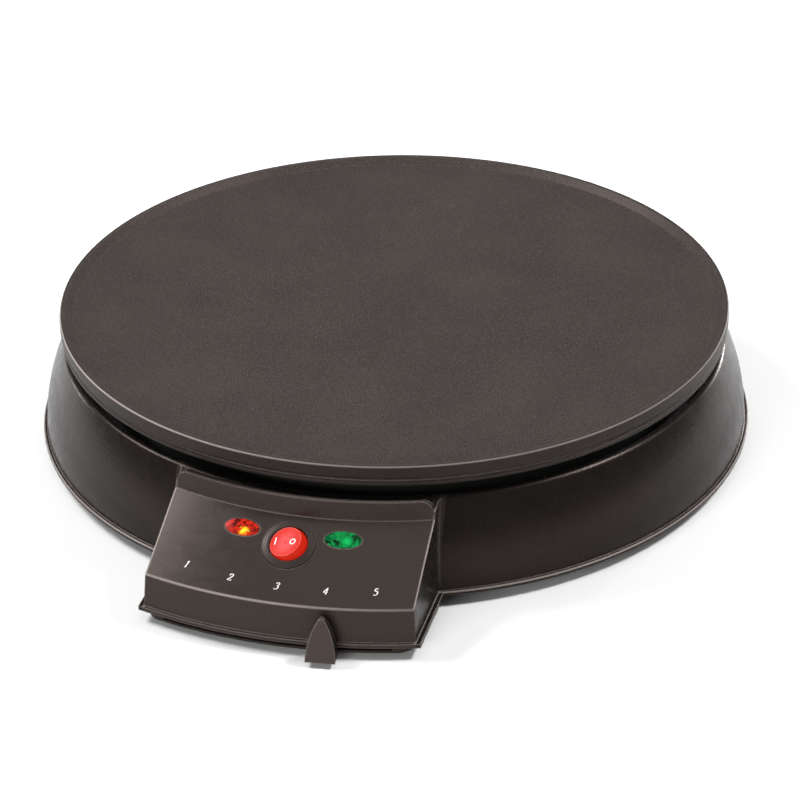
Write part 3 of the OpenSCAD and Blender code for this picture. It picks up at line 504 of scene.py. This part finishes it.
def pen_ribbon(path):
    """Left and right edge of a stroke that is thick where it runs down and thin where across."""
    rows = []
    for i, (x, y) in enumerate(path):
        a, b = path[max(i - 1, 0)], path[min(i + 1, len(path) - 1)]
        dx, dy = b[0] - a[0], b[1] - a[1]
        size = hypot(dx, dy)
        half = (THIN + (THICK - THIN) * abs(dy) / size) / 2
        side_x, side_y = -dy / size * half, dx / size * half
        rows.append(((x + side_x, y + side_y), (x - side_x, y - side_y)))
    return rows


def printed_number(text, deg, along):
    """A number printed on the panel's cone."""
    verts, faces = [], []
    for stroke in GLYPHS[text]:
        path = smooth_path(stroke) if len(stroke) > 2 else stroke
        faces += strip(len(verts), len(path))
        for pair in pen_ribbon(path):
            for x, y in pair:
                across = (x - GLYPH_W / 2 + SLANT * (y - 0.5)) * NUMBER_H
                verts.append(on_cone(deg, along, across, (y - 0.5) * NUMBER_H, PRINT_LIFT))
    printed("number_" + text, verts, faces, "base")


def rocker_point(x, y):
    """Point of the rocker's hollowed face, tilted as at rest (mm)."""
    height = ROCKER_DISH[0] - sqrt(ROCKER_DISH[1] ** 2 - x * x - y * y) + PRINT_LIFT
    return rocker_frame(ROCKER_TILT) @ Vector((x, y, height))


def mark_off():
    """O on the rocker's far side."""
    verts = []
    for step in range(OFF_STEPS):
        turn = 2 * pi * step / OFF_STEPS
        for r in (OFF_R - MARK_W, OFF_R):
            verts.append(rocker_point(OFF_AT[0] + r * cos(turn), OFF_AT[1] + r * sin(turn)))
    closed = [tuple(i % len(verts) for i in face) for face in strip(0, OFF_STEPS + 1)]
    printed("mark_off", verts, closed, "rocker")


def mark_on():
    """I on the rocker's pressed side."""
    verts = []
    for step in range(ON_STEPS):
        up = ON_AT[1] + ON_H * (step / (ON_STEPS - 1) - 0.5)
        verts += [rocker_point(ON_AT[0] + side * MARK_W / 2, up) for side in (-1, 1)]
    printed("mark_on", verts, strip(0, ON_STEPS), "rocker")


for step, (text, along) in enumerate(zip(GLYPHS, NUMBER_AT), start=-(len(GLYPHS) // 2)):
    printed_number(text, step * STEP_DEG, along)
mark_off()
mark_on()


# ---- Floor, light and camera ----

def floor():
    """Plain pale floor."""
    s = Shader("floor", (0.94, 0.94, 0.94), Roughness=0.8)
    s.set("Base Color", s.mix(s.noise(60, 2), (0.93, 0.93, 0.93), (0.95, 0.95, 0.95)))
    mesh = bpy.data.meshes.new("floor")
    work = bmesh.new()
    bmesh.ops.create_grid(work, x_segments=1, y_segments=1, size=FLOOR_HALF)
    work.to_mesh(mesh)
    work.free()
    mesh.materials.append(s.material)
    obj = linked("floor", mesh)


def area_light(name, at, aim, size, power):
    light = bpy.data.lights.new(name, "AREA")
    light.energy = power
    light.shape = "RECTANGLE"
    light.size, light.size_y = size
    obj = linked(name, light)
    obj.location = at
    obj.rotation_euler = (Vector(aim) - Vector(at)).to_track_quat("-Z", "Y").to_euler()


floor()
for name, settings in LIGHTS.items():
    area_light(name, *settings)

world = bpy.data.worlds.new("studio")
world.use_nodes = True
background = world.node_tree.nodes["Background"].inputs
background["Color"].default_value = (1, 1, 1, 1)
background["Strength"].default_value = WORLD_LIGHT
bpy.context.scene.world = world
bpy.context.scene.view_settings.view_transform = "Standard"

camera = bpy.data.cameras.new("camera")
camera.lens = LENS_MM
camera.sensor_width = SENSOR_MM
camera.clip_start, camera.clip_end = 0.05, 20
view = linked("camera", camera)
view.location = mm(CAMERA_AT)
view.rotation_euler = Euler([radians(a) for a in CAMERA_TURN], "XYZ")
bpy.context.scene.camera = view
